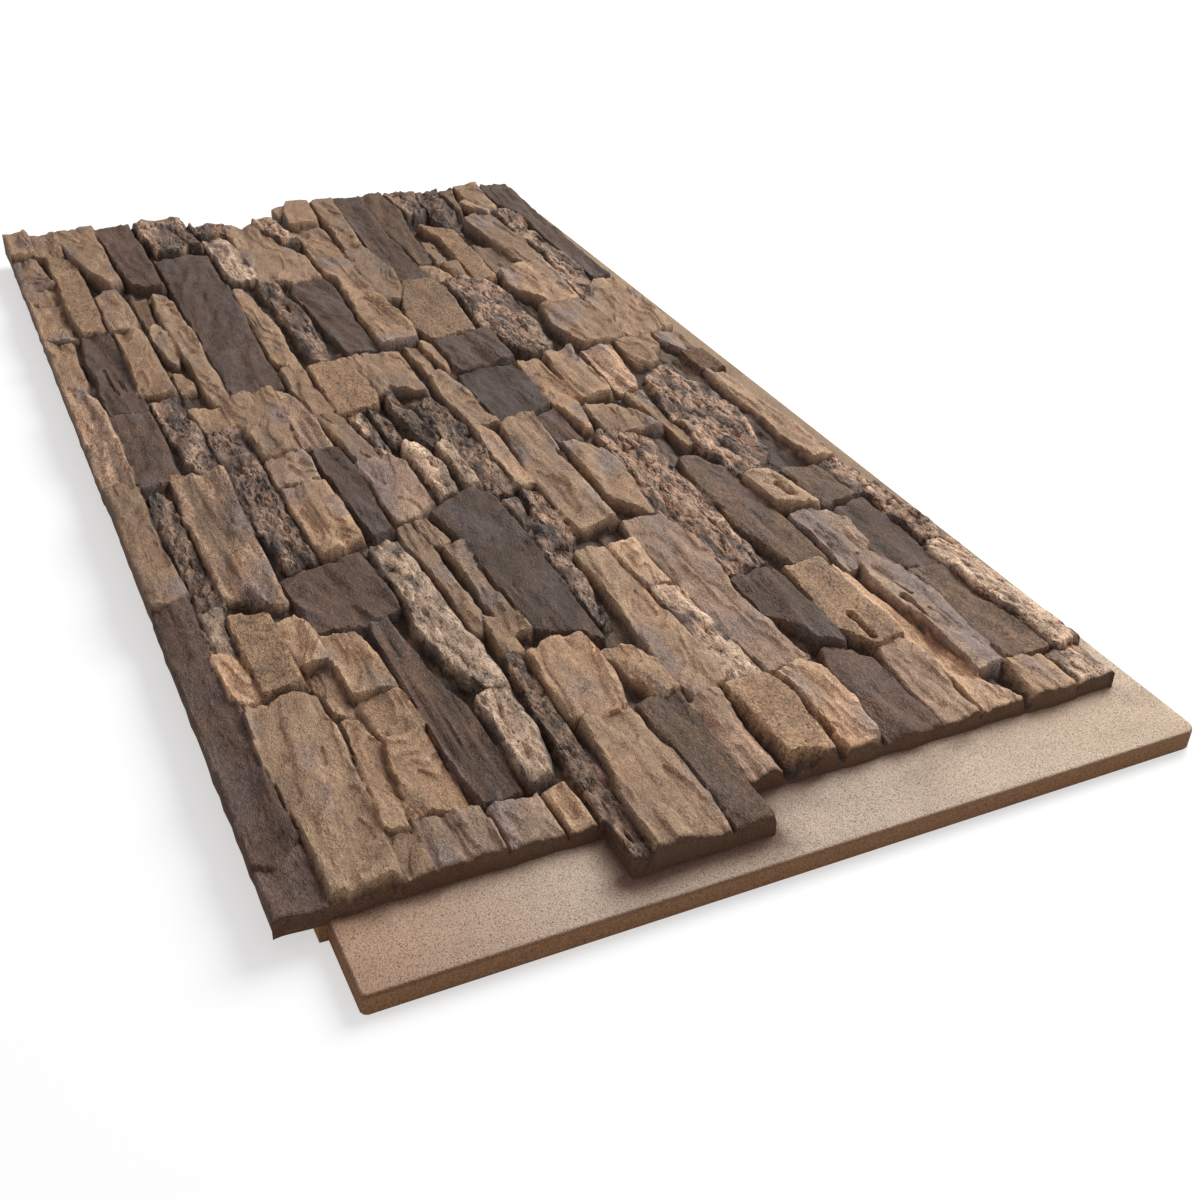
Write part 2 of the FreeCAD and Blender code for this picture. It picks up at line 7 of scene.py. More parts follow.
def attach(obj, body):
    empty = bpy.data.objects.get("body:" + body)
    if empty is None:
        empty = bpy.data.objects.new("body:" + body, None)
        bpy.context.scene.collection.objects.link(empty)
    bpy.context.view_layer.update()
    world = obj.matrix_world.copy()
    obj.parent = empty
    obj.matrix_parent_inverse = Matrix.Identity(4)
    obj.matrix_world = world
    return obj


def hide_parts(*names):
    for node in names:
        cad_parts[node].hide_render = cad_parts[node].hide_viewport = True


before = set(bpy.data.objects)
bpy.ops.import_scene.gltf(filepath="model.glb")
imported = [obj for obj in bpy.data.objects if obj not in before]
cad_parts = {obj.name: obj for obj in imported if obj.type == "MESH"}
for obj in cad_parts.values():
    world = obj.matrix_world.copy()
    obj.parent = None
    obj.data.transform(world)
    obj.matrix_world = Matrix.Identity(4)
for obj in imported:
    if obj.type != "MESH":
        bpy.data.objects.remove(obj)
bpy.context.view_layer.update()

# The panel. One piece of rigid foam, moulded face down against a cast of stacked ledge stones,
# then painted tan, brown and slate and washed dark in the joints. It is a 14 mm board with a
# flange at +X and +Y, and a stone field that hangs over lap recesses at -X and -Y.
# Each stone is its finish, the height of its face at its -X and its +X end, and its outline.
# Finishes: t tan, p pitted tan, k streaky tan, m mauve tan, l light crust, c crust, b brown,
# s slate, o olive slate, g grained slate.
stones = [
    ("t", 39, 37, [(-546, -289), (-546, -269), (-491, -267), (-488, -289)]),
    ("t-", 26, 25, [(-485, -289), (-478, -266), (-406, -260), (-419, -289)]),
    ("t-", 25, 25, [(-415, -289), (-402, -260), (-364, -256), (-368, -289)]),
    ("t", 27, 26, [(-364, -289), (-360, -257), (-275, -261), (-292, -289)]),
    ("t", 25, 25, [(-288, -289), (-271, -268), (-213, -267), (-169, -271), (-165, -289)]),
    ("k+", 29, 29, [(-161, -289), (-163, -274), (-134, -266), (-64, -266), (-64, -289)]),
    ("k", 27, 28, [(-61, -289), (-61, -266), (14, -265), (14, -289)]),
    ("t--", 29, 28, [(17, -289), (17, -265), (174, -264), (185, -276), (185, -289)]),
    ("s", 26, 26, [(188, -289), (182, -265), (438, -262), (450, -277), (441, -289)]),
    ("s++", 25, 25, [(445, -289), (454, -277), (443, -261), (490, -258), (490, -289)]),
    ("t-", 33, 32, [(-546, -265), (-546, -242), (-475, -240), (-485, -263)]),
    ("p-", 31, 31, [(-479, -254), (-466, -234), (-277, -233), (-277, -256), (-438, -257)]),
    ("s", 27, 26, [(-273, -257), (-273, -232), (-112, -231), (-108, -260)]),
    ("s", 26, 26, [(-104, -262), (-108, -231), (19, -231), (23, -261)]),
    ("c--", 24, 24, [(27, -257), (27, -246), (198, -245), (199, -258)]),
    ("l---", 27, 27, [(203, -262), (203, -247), (252, -247), (252, -262)]),
    ("t+++", 28, 28, [(256, -262), (256, -248), (306, -247), (306, -262)]),
    ("p", 31, 31, [(218, -243), (218, -220), (303, -220), (305, -243)]),
    ("t-", 34, 33, [(-546, -238), (-546, -204), (-392, -202), (-376, -213), (-430, -226), (-508, -237)]),
    ("t-", 31, 31, [(-372, -219), (-372, -209), (-298, -204), (-273, -209), (-273, -229), (-360, -229)]),
    ("t-", 31, 30, [(-269, -227), (-269, -214), (-252, -207), (-130, -203), (-127, -215), (-139, -228)]),
    ("c", 27, 27, [(-121, -226), (-123, -205), (15, -202), (13, -219), (-84, -227)]),
    ("k-", 29, 29, [(18, -238), (20, -202), (212, -203), (212, -213), (195, -226), (193, -241)]),
    ("t++", 29, 29, [(230, -214), (226, -203), (258, -198), (288, -197), (288, -214)]),
    ("t+", 29, 29, [(260, -194), (271, -175), (298, -171), (333, -168), (333, -193), (292, -194)]),
    ("t+", 28, 28, [(337, -194), (337, -169), (375, -168), (377, -191)]),
    ("t+", 28, 28, [(380, -191), (380, -168), (446, -166), (446, -197)]),
    ("t", 22, 22, [(292, -212), (292, -199), (344, -199), (342, -210)]),
    ("t+", 27, 27, [(348, -208), (356, -201), (381, -195), (451, -202), (452, -212)]),
    ("t", 32, 31, [(322, -259), (319, -229), (326, -219), (432, -215), (486, -220), (489, -254),
                   (362, -260)]),
    ("t-", 26, 26, [(456, -214), (456, -202), (490, -201), (490, -215)]),
    ("m-", 27, 27, [(450, -198), (453, -163), (490, -161), (490, -197)]),
    ("m", 27, 27, [(455, -158), (456, -127), (490, -126), (490, -157)]),
    ("t++", 28, 28, [(454, -122), (454, -109), (490, -107), (490, -120)]),
    ("s", 33, 31, [(-546, -200), (-546, -164), (-363, -165), (-377, -191), (-476, -197)]),
    ("t----", 26, 26, [(-352, -198), (-352, -186), (-294, -186), (-283, -195)]),
    ("t", 28, 28, [(-280, -192), (-280, -186), (-203, -186), (-186, -191), (-243, -198)]),
    ("t", 24, 24, [(-179, -197), (-176, -188), (-155, -184), (-134, -185), (-134, -197)]),
    ("t", 31, 31, [(-346, -179), (-340, -171), (-320, -164), (-100, -165), (-102, -176), (-238, -181)]),
    ("t", 27, 27, [(-96, -198), (-96, -178), (-99, -172), (-55, -170), (-56, -197)]),
    ("c-", 28, 28, [(-52, -197), (-52, -171), (171, -170), (173, -189), (97, -198)]),
    ("s", 25, 25, [(178, -198), (175, -169), (170, -139), (196, -136), (247, -138), (254, -194)]),
    ("g", 28, 28, [(257, -160), (255, -149), (298, -145), (378, -135), (448, -133), (450, -159),
                   (328, -164)]),
    ("c+", 35, 34, [(-546, -158), (-546, -110), (-457, -107), (-461, -152)]),
    ("s-", 29, 28, [(-440, -156), (-437, -108), (-304, -110), (-112, -118), (-108, -159)]),
    ("t", 29, 29, [(-336, -104), (-330, -97), (-302, -92), (-227, -89), (-153, -92), (-153, -102),
                   (-172, -107)]),
    ("t-", 32, 32, [(-96, -167), (-103, -150), (-101, -130), (12, -138), (14, -167)]),
    ("m", 31, 31, [(18, -166), (18, -137), (59, -137), (61, -167)]),
    ("t+", 32, 32, [(65, -166), (65, -135), (157, -134), (164, -165)]),
    ("k-", 29, 29, [(-100, -125), (-98, -117), (-62, -109), (6, -108), (10, -133)]),
    ("s--", 28, 28, [(14, -125), (11, -107), (56, -103), (147, -107), (154, -122), (38, -129)]),
    ("l-", 31, 31, [(171, -131), (167, -120), (172, -110), (300, -106), (355, -105), (357, -119),
                    (301, -131)]),
    ("l-", 32, 32, [(362, -129), (361, -109), (402, -107), (448, -112), (448, -127)]),
    ("c-", 36, 35, [(-511, -102), (-511, -72), (-484, -71), (-484, -101)]),
    ("l", 31, 31, [(-475, -99), (-480, -80), (-438, -74), (-355, -75), (-360, -97)]),
    ("c--", 29, 29, [(-338, -78), (-335, -62), (-222, -57), (-148, -66), (-148, -80), (-222, -73)]),
    ("t-", 30, 30, [(-140, -111), (-148, -95), (-51, -91), (-49, -106)]),
    ("t--", 28, 28, [(-45, -105), (-46, -91), (34, -83), (35, -98)]),
    ("p", 31, 31, [(-140, -87), (-140, -55), (-60, -51), (-45, -57), (-45, -87)]),
    ("c+++", 27, 27, [(-40, -81), (-40, -72), (31, -71), (31, -79)]),
    ("m", 29, 29, [(38, -99), (36, -75), (58, -69), (123, -69), (138, -87), (139, -99)]),
    ("t-", 27, 27, [(145, -103), (145, -92), (272, -91), (300, -99)]),
    ("t-", 28, 28, [(143, -88), (140, -80), (177, -77), (180, -86)]),
    ("t-", 30, 30, [(184, -82), (188, -70), (307, -69), (306, -81)]),
    ("t-", 26, 26, [(278, -90), (280, -84), (324, -80), (325, -91)]),
    ("c--", 29, 29, [(330, -93), (330, -86), (525, -90), (525, -101), (420, -100)]),
    ("t+", 34, 34, [(333, -80), (326, -60), (328, -42), (375, -40), (404, -47), (406, -64), (403, -81)]),
    ("t", 33, 33, [(410, -76), (408, -46), (443, -43), (493, -40), (525, -43), (525, -87), (442, -81)]),
    ("t", 32, 30, [(-511, -69), (-508, -43), (-440, -33), (-400, -14), (-345, -15), (-335, -45),
                   (-347, -73)]),
    ("c+", 37, 37, [(-511, -39), (-511, -19), (-436, -13), (-436, -27)]),
    ("s-", 27, 26, [(-330, -45), (-340, -22), (-336, -14), (-162, -15), (-162, -43), (-320, -50)]),
    ("t-", 30, 30, [(-142, -50), (-150, -25), (-142, -4), (-62, -4), (-75, -34), (-60, -46)]),
    ("c----", 31, 31, [(-70, -40), (-70, -34), (30, -28), (30, -37), (-28, -45)]),
    ("c--", 27, 27, [(-40, -63), (-40, -53), (20, -55), (22, -63)]),
    ("l++", 31, 31, [(26, -56), (29, -47), (81, -44), (116, -46), (118, -57)]),
    ("l--", 30, 30, [(34, -31), (34, -24), (108, -23), (113, -32)]),
    ("c-", 28, 28, [(-43, -20), (-50, -4), (17, 0), (117, -1), (121, -17), (30, -22)]),
    ("s--", 30, 30, [(140, -74), (128, -58), (120, -36), (123, -23), (332, -25), (323, -37),
                     (308, -63), (183, -68)]),
    ("c", 29, 29, [(137, -18), (138, -10), (240, -8), (318, -14), (319, -20)]),
    ("t+", 29, 29, [(340, -30), (340, -17), (366, -6), (396, -7), (398, -22)]),
    ("o-", 28, 28, [(405, -38), (401, -24), (402, -9), (489, -12), (525, -13), (525, -37), (490, -35)]),
    ("t++", 34, 34, [(-546, -9), (-546, 8), (-524, 2), (-512, -9)]),
    ("t", 41, 38, [(-546, 12), (-546, 30), (-480, 23), (-480, -4), (-512, -2)]),
    ("t", 32, 32, [(-475, -5), (-474, 24), (-257, 19), (-196, 26), (-162, 22), (-161, -10), (-296, -5)]),
    ("t--", 27, 27, [(-155, 8), (-153, 19), (-97, 18), (-97, 7)]),
    ("t-", 29, 29, [(-157, 24), (-152, 33), (-112, 33), (-92, 27), (-130, 23)]),
    ("t", 30, 30, [(-91, 8), (-88, 21), (-40, 30), (15, 30), (16, 6)]),
    ("t+", 29, 29, [(20, 4), (20, 11), (44, 18), (118, 15), (121, 3)]),
    ("c+", 27, 27, [(125, 0), (125, 13), (196, 13), (212, 1), (210, -4)]),
    ("t+", 31, 31, [(231, 1), (229, 24), (400, 27), (408, 14), (409, -2)]),
    ("t+++", 31, 31, [(231, 28), (231, 48), (285, 48), (286, 28)]),
    ("l+", 27, 27, [(290, 30), (290, 50), (404, 51), (404, 31)]),
    ("m+", 28, 28, [(413, -5), (412, 14), (480, 13), (490, 10), (490, -8)]),
    ("p+", 34, 33, [(412, 22), (410, 49), (429, 53), (488, 48), (484, 21)]),
    ("t--", 38, 36, [(-546, 34), (-546, 55), (-440, 50), (-404, 46), (-404, 29)]),
    ("t---", 31, 31, [(-400, 28), (-400, 52), (-338, 57), (-284, 50), (-262, 38), (-262, 23)]),
    ("s-", 36, 28, [(-546, 59), (-546, 83), (-440, 84), (-302, 83), (-302, 60), (-420, 56)]),
    ("p--", 31, 31, [(-298, 57), (-297, 81), (-266, 91), (-168, 80), (-160, 38), (-198, 31), (-258, 43)]),
    ("s-", 29, 29, [(-155, 38), (-161, 78), (-163, 91), (-98, 91), (-92, 38)]),
    ("s---", 26, 26, [(-86, 34), (-93, 88), (-5, 84), (8, 60), (16, 34)]),
    ("s+", 24, 24, [(13, 64), (2, 86), (62, 84), (66, 75), (62, 66)]),
    ("t", 30, 30, [(22, 30), (12, 50), (14, 58), (156, 49), (197, 46), (197, 16), (118, 19)]),
    ("t", 30, 30, [(71, 63), (71, 73), (96, 85), (120, 88), (197, 81), (160, 60)]),
    ("m", 28, 28, [(201, 52), (201, 82), (257, 91), (317, 80), (383, 86), (404, 88), (404, 56),
                   (288, 53)]),
    ("t+++", 31, 31, [(409, 60), (408, 80), (416, 88), (486, 82), (488, 60)]),
    ("o--", 40, 27, [(-546, 87), (-546, 112), (-480, 116), (-354, 106), (-352, 93), (-470, 88)]),
    ("t", 28, 28, [(-347, 88), (-343, 103), (-292, 106), (-292, 88)]),
    ("t--", 27, 27, [(-410, 117), (-408, 126), (-343, 121), (-343, 111)]),
    ("t---", 29, 29, [(-339, 114), (-338, 130), (-288, 122), (-288, 111)]),
    ("c", 34, 33, [(-280, 97), (-280, 119), (-259, 136), (-171, 140), (-116, 136), (-97, 112),
                   (-171, 89)]),
    ("t+", 27, 27, [(-90, 93), (-86, 108), (-45, 112), (-5, 109), (60, 94), (0, 89)]),
    ("c+", 29, 29, [(62, 98), (73, 118), (93, 130), (238, 125), (288, 122), (296, 91), (200, 86),
                    (118, 92)]),
    ("s-", 30, 30, [(302, 90), (300, 119), (360, 121), (398, 118), (383, 104), (340, 90)]),
    ("s+", 27, 27, [(392, 103), (405, 118), (414, 129), (490, 126), (490, 89), (418, 94)]),
    ("c--", 39, 35, [(-546, 119), (-546, 151), (-484, 145), (-468, 121)]),
    ("c-----", 36, 31, [(-546, 155), (-546, 181), (-478, 172), (-398, 160), (-468, 151)]),
    ("p-", 31, 31, [(-462, 128), (-443, 136), (-420, 156), (-288, 150), (-284, 130), (-408, 137)]),
    ("t---", 27, 27, [(-382, 163), (-368, 183), (-310, 182), (-304, 164), (-340, 156)]),
    ("t+", 31, 31, [(-89, 118), (-93, 141), (0, 139), (2, 113)]),
    ("k+", 28, 28, [(-97, 156), (-97, 188), (-4, 167), (-4, 150)]),
    ("t-", 29, 29, [(16, 108), (22, 131), (33, 142), (75, 150), (63, 106)]),
    ("t-", 30, 30, [(5, 152), (8, 166), (118, 162), (62, 154)]),
    ("o", 28, 28, [(128, 138), (128, 153), (157, 165), (299, 168), (299, 138), (180, 130)]),
    ("p", 32, 31, [(305, 128), (303, 157), (402, 158), (408, 138), (382, 124)]),
    ("t-----", 37, 36, [(-546, 186), (-546, 199), (-498, 191), (-472, 181)]),
    ("t+", 34, 34, [(-504, 197), (-505, 204), (-467, 216), (-458, 211)]),
    ("t---", 33, 33, [(-447, 180), (-455, 211), (-372, 214), (-305, 210), (-305, 188), (-422, 179)]),
    ("t+", 33, 33, [(-296, 161), (-300, 180), (-300, 207), (-200, 203), (-200, 174), (-254, 156)]),
    ("t-", 32, 32, [(-196, 161), (-196, 203), (-176, 207), (-106, 206), (-103, 160), (-146, 152)]),
    ("t-", 30, 30, [(-101, 195), (-102, 228), (-80, 226), (-74, 213), (-54, 210), (-49, 194)]),
    ("c+", 28, 29, [(-28, 187), (-42, 215), (-4, 227), (56, 230), (137, 216), (174, 184), (174, 170),
                    (58, 169)]),
    ("t+", 32, 32, [(179, 171), (182, 193), (198, 197), (234, 200), (235, 187), (222, 172)]),
    ("m", 29, 29, [(240, 174), (240, 204), (264, 208), (298, 203), (318, 177)]),
    ("m", 29, 29, [(306, 193), (305, 208), (330, 210), (451, 209), (456, 183), (340, 180)]),
    ("t++++", 28, 28, [(308, 163), (322, 172), (454, 178), (490, 193), (490, 162), (400, 162)]),
    ("m+", 28, 28, [(412, 137), (408, 156), (490, 155), (490, 131)]),
    ("t", 41, 36, [(-546, 203), (-546, 229), (-470, 226), (-464, 219), (-508, 208)]),
    ("c", 33, 33, [(-458, 218), (-461, 237), (-432, 240), (-408, 232), (-404, 219)]),
    ("c+", 33, 32, [(-400, 219), (-390, 237), (-293, 239), (-233, 233), (-203, 213)]),
    ("s--", 36, 28, [(-546, 240), (-546, 267), (-260, 267), (-256, 243), (-436, 244), (-524, 232)]),
    ("t", 27, 27, [(-251, 241), (-252, 267), (-128, 267), (-108, 232), (-106, 212), (-200, 213)]),
    ("t-", 24, 24, [(-106, 240), (-116, 267), (-70, 267), (-66, 246)]),
    ("b-", 28, 28, [(-58, 238), (-62, 267), (-18, 267), (-14, 242)]),
    ("t+", 25, 25, [(-10, 244), (-11, 267), (164, 267), (160, 245)]),
    ("o-", 27, 27, [(176, 206), (173, 239), (224, 242), (235, 206)]),
    ("c++", 25, 25, [(168, 246), (170, 267), (218, 267), (218, 247)]),
    ("s-", 27, 26, [(240, 212), (230, 244), (256, 245), (334, 240), (334, 214), (298, 208)]),
    ("c+", 29, 29, [(223, 251), (223, 267), (268, 267), (304, 260), (304, 248)]),
    ("o+", 27, 26, [(338, 214), (338, 240), (449, 246), (449, 213)]),
    ("l+", 31, 32, [(310, 246), (310, 267), (452, 267), (452, 252), (342, 244)]),
    ("t++", 29, 29, [(455, 208), (455, 233), (490, 234), (490, 205)]),
    ("l+", 28, 28, [(456, 241), (456, 267), (490, 267), (490, 240)]),
]


def inside(x, y, outline):
    """How far each point is inside a closed outline, negative outside."""
    nearest = np.full(x.shape, 1e9)
    odd = np.zeros(x.shape, bool)
    for (ax, ay), (bx, by) in zip(outline, outline[1:] + outline[:1]):
        ex, ey = bx - ax, by - ay
        t = np.clip(((x - ax) * ex + (y - ay) * ey) / (ex * ex + ey * ey), 0, 1)
        nearest = np.minimum(nearest, np.hypot(x - ax - t * ex, y - ay - t * ey))
        if ay != by:
            odd ^= ((ay > y) != (by > y)) & (x < ex * (y - ay) / ey + ax)
    return np.where(odd, nearest, -nearest)


def noise(x, y, wide, tall, seed, octaves=1):
    """Smooth noise from about -1 to 1, its features wide by tall millimetres."""
    total = np.zeros(x.shape)
    for k in range(octaves):
        lattice = np.random.default_rng(seed * 17 + k).uniform(-1, 1, (256, 256))
        u = x * 2 ** k / wide + 512.37
        v = y * 2 ** k / tall + 512.81
        i = np.floor(u).astype(int)
        j = np.floor(v).astype(int)
        fu = (u - i) ** 2 * (3 - 2 * (u - i))
        fv = (v - j) ** 2 * (3 - 2 * (v - j))
        a = lattice[i % 256, j % 256] * (1 - fu) + lattice[(i + 1) % 256, j % 256] * fu
        b = lattice[i % 256, (j + 1) % 256] * (1 - fu) + lattice[(i + 1) % 256, (j + 1) % 256] * fu
        total += (a * (1 - fv) + b * fv) * 0.5 ** k
    return total


def spots(x, y, wide, tall, seed):
    """Distance to the nearest scattered point, in cells of wide by tall, and that point's chance."""
    u, v = x / wide + 512.0, y / tall + 512.0
    i, j = np.floor(u).astype(int), np.floor(v).astype(int)
    draw = np.random.default_rng(seed * 31)
    jitter_u, jitter_v, chance = draw.random((3, 256, 256))
    nearest = np.full(x.shape, 9.0)
    odds = np.zeros(x.shape)
    for di in (-1, 0, 1):
        for dj in (-1, 0, 1):
            ci, cj = (i + di) % 256, (j + dj) % 256
            away = np.hypot(i + di + jitter_u[ci, cj] - u, j + dj + jitter_v[ci, cj] - v)
            odds = np.where(away < nearest, chance[ci, cj], odds)
            nearest = np.minimum(nearest, away)
    return nearest, odds


def inset(outline, by):
    """The outline with every side moved inwards."""
    moved = []
    for i, (x, y) in enumerate(outline):
        before, after = Vector(outline[i - 1]), Vector(outline[(i + 1) % len(outline)])
        a = (Vector((x, y)) - before).normalized()
        b = (after - Vector((x, y))).normalized()
        out = Vector((-a.y - b.y, a.x + b.x)) / (1 + a.dot(b))
        moved.append((x - out.x * by, y - out.y * by))
    return moved


# The moulding's measures in millimetres, from the middle of its footprint on the flat back.
half_length, half_width = 546, 289
board, rounding = 14.0, 2.5
field_end, field_side = 490, 267
tongue_end, tongue_low, tongue_high = 525, -101, -11
notch_end, notch_low, notch_high = -510, -102, -10
lap_end, lap_side = -488.5, -265.5
flange_start = -260.5
field = [(-half_length, -half_width), (-half_length, notch_low), (notch_end, notch_low),
         (notch_end, notch_high), (-half_length, notch_high), (-half_length, field_side),
         (field_end, field_side), (field_end, tongue_high), (tongue_end, tongue_high),
         (tongue_end, tongue_low), (field_end, tongue_low), (field_end, -half_width)]

# Grid lines, with pairs of them where the moulding steps straight down.
step, hair = 1.5, 0.1
x_fixed = [-half_length, notch_end, lap_end]
x_fixed += [wall + a for wall in (field_end, tongue_end) for a in (-1.1, -hair, hair, 1.2)]
x_fixed += [half_length - a for a in (2.5, 1.4, 0.5, 0)]
y_fixed = [-half_width, lap_side, flange_start, notch_low, notch_high]
y_fixed += [wall + a for wall in (tongue_low, tongue_high) for a in (-hair, hair)]
y_fixed += [field_side + a for a in (-1.2, -hair, hair, 1.2)]
y_fixed += [half_width - a for a in (2.5, 1.4, 0.5, 0)]


def grid_lines(reach, fixed):
    """Lines from -reach to reach, a step apart, that leave room for the fixed ones."""
    free_lines = [v for v in np.arange(-reach, reach, step) if min(abs(v - f) for f in fixed) > 0.5 * step]
    return np.sort(np.append(free_lines, fixed))


xs, ys = grid_lines(half_length, x_fixed), grid_lines(half_width, y_fixed)
gx, gy = np.meshgrid(xs, ys, indexing="ij")
in_field = inside(gx, gy, field)


def stone_face(kind, x, y, u, v, seed):
    """Relief of a stone's face over its plane; u runs along its grain and v across."""
    # Split faces come away in thin sheets, with a ledge where one sheet ends.
    sheet = noise(u, v, 70, 15, seed + 300, 2) * 2.2 + noise(x, y, 10, 6, 44) * 0.2
    ledge = np.floor(sheet) + np.clip((sheet - np.floor(sheet) - 0.46) / 0.08, 0, 1)
    if kind in "tm":
        return 1.6 * ledge + 1.6 * noise(u, v, 60, 18, seed) + 1.2 * noise(u, v, 26, 7, seed + 500, 2)
    if kind in "pb":
        near, odds = spots(x, y, 4.5, 3.5, seed)
        pits = np.clip(1 - near / 0.45, 0, 1) * (odds > 0.4)
        return 0.5 * ledge + noise(u, v, 40, 22, seed) - pits
    if kind in "so":
        return 1.1 * ledge + 1.1 * noise(u, v, 60, 16, seed) + noise(u, v, 24, 6, seed + 500, 2)
    if kind == "g":
        return 1.2 * noise(x, y, 80, 10, seed) + 1.9 * noise(x, y, 60, 4, seed + 500, 2)
    if kind == "k":
        return 1.1 * ledge + 1.5 * noise(u, v, 50, 9, seed) + 1.4 * noise(x, y, 34, 4, seed + 500, 2)
    # Crust is rough all over, with hollows and deep cracks.
    rough_depth, crack_depth = (2.9, 2.2) if kind == "c" else (2.2, 1.6)
    near, odds = spots(u, v, 17, 5, seed)
    hollow = np.clip(1 - near / 0.55, 0, 1) * (odds > 0.65)
    crack = np.clip(1 - np.abs(noise(u, v, 30, 11, seed + 500, 3)) / 0.16, 0, 1)
    return rough_depth * noise(u, v, 34, 10, seed, 4) - 2.2 * hollow - crack_depth * crack


# Bed between the stones, then every stone in turn, highest wins. A stone's sides slope, so that
# two which nearly touch meet in a shallow groove.
height = 17.4 + 1.4 * noise(gx, gy, 40, 14, 3, 2) + 2.8 * np.abs(noise(gx, gy, 24, 9, 4, 3))
height += 1.5 * np.clip(noise(gx, gy, 30, 7, 12, 2) / 0.1, -0.5, 0.5)
under = np.full(gx.shape, 9.0)
owner = np.full(gx.shape, -1)
within = np.zeros(gx.shape)
sway_x = 3.0 * noise(gx, gy, 45, 20, 5) + 1.2 * noise(gx, gy, 14, 7, 6, 2)
sway_y = 1.9 * noise(gx, gy, 42, 30, 7) + 0.8 * noise(gx, gy, 14, 9, 8, 2)
spread = 1.7 + 1.0 * noise(gx, gy, 40, 26, 9)
margin, overrun = 12, 9
for number, (finish, start, end, outline) in enumerate(stones):
    kind = finish[0]
    wide = [p[0] for p in outline]
    tall = [p[1] for p in outline]
    slim = max(tall) - min(tall)
    i0, i1 = np.searchsorted(xs, [min(wide) - margin, max(wide) + margin])
    j0, j1 = np.searchsorted(ys, [min(tall) - margin, max(tall) + margin])
    here = (slice(i0, i1), slice(j0, j1))
    x, y = gx[here], gy[here]
    # A side on the field's edge runs on past it, so that the mould's edge cuts the stone.
    past = []
    for px, py in outline:
        px += overrun * ((px in (field_end, tongue_end)) - (px in (-half_length, notch_end - 1)))
        py += overrun * ((py == field_side) - (py == -half_width))
        past.append((px, py))
    corner = min(1.2, 0.2 * slim)
    ragged = {"c": 1.7, "l": 1.4, "k": 1.2, "g": 1.3}.get(kind, 1.0)
    depth = inside(x + sway_x[here] * ragged, y + sway_y[here] * ragged, inset(past, corner))
    depth = depth + corner + spread[here]
    share = np.clip((x - min(wide)) / (max(wide) - min(wide)), 0, 1)
    seed = 100 + number
    lean = np.random.default_rng(seed).uniform(-1, 1, 3)
    plane = start + (end - start) * share + 1.3 * lean[0] * np.clip((y - min(tall)) / slim * 2 - 1, -1, 1)
    grain = math.radians(12 * lean[1])
    u = x * math.cos(grain) + y * math.sin(grain)
    v = y * math.cos(grain) - x * math.sin(grain)
    top = plane + stone_face(kind, x, y, u, v, seed)
    shoulder = np.clip(1 - depth / 1.6, 0, 1)
    z = top - 0.8 * shoulder ** 2 - 4.0 * np.clip(-depth, 0, None)
    won = z > height[here]
    for whole, part in ((height, z), (owner, number), (under, np.clip(top - z, 0, 20)), (within, depth)):
        whole[here] = np.where(won, part, whole[here])

# Slits, pits and hollows in single stones, each from one point to another with its half width and depth.
for ax, ay, bx, by, half, deep in [
        (-204, -249, -142, -248, 1.7, 3), (-178, -241, -150, -240, 1.7, 3), (370, 140, 398, 139, 3, 5),
        (200, 184, 220, 185, 3, 5), (340, 191, 362, 194, 2.5, 4), (368, 184, 400, 187, 3.5, 5),
        (420, 58, 472, 60, 2.5, 6), (80, 54, 158, 55, 2.5, 6), (198, -228, 220, -226, 9, 4)]:
    t = np.clip(((gx - ax) * (bx - ax) + (gy - ay) * (by - ay)) / ((bx - ax) ** 2 + (by - ay) ** 2), 0, 1)
    away = np.hypot(gx - ax - t * (bx - ax) - 0.8 * sway_x, gy - ay - t * (by - ay) - 0.8 * sway_y)
    cut = deep * np.clip(1.3 - 1.3 * (away / half) ** 2, 0, 1)
    height -= cut
    under += 0.8 * cut

# No stone stands higher than 41 mm: above 37 mm the faces flatten towards it.
level_off, headroom = 37, 3.9
flattened = level_off + headroom * np.tanh((height - level_off) / headroom)
height = np.where(height > level_off, flattened, height)
# The field's own edges are rounded over, and the flange lies round it.
height -= 1.8 * np.clip(1 - in_field / 2.6, 0, 1) ** 2
free = np.minimum(half_length - gx, half_width - gy)
free = np.minimum(free, np.where(gx > field_end, gy - flange_start, 99))
drop = np.clip(1 - free / rounding, 0, 1)
flange = board - rounding * (1 - np.sqrt(1 - drop ** 2))
surface = np.where(in_field > 0, height, flange)
surface = np.where((in_field == 0) & ((gx < 0) | (gy < -260)), height, surface)
owner = np.where(surface == flange, -2, owner)


# Paint, one colour to a vertex: the stone's own with its washes, and painted shade that darkens it towards its
# foot.
def tone(r, g, b):
    """A display colour as linear light."""
    shares = [v / 255.0 for v in (r, g, b)]
    return np.array([v / 12.92 if v < 0.04 else ((v + 0.055) / 1.055) ** 2.4 for v in shares])


def soft(values, reach):
    """The values averaged over their neighbours, twice."""
    for axis in (0, 1, 0, 1):
        pad = [(0, 0), (0, 0)]
        pad[axis] = (reach + 1, reach)
        run = np.cumsum(np.pad(values, pad, "edge"), axis=axis)
        n, span = values.shape[axis], 2 * reach + 1
        values = (np.take(run, range(span, span + n), axis) - np.take(run, range(n), axis)) / span
    return values


def blend(under_paint, over_paint, cover):
    """One paint over another, where cover runs from 0 to 1."""
    return under_paint * (1 - cover) + over_paint * cover


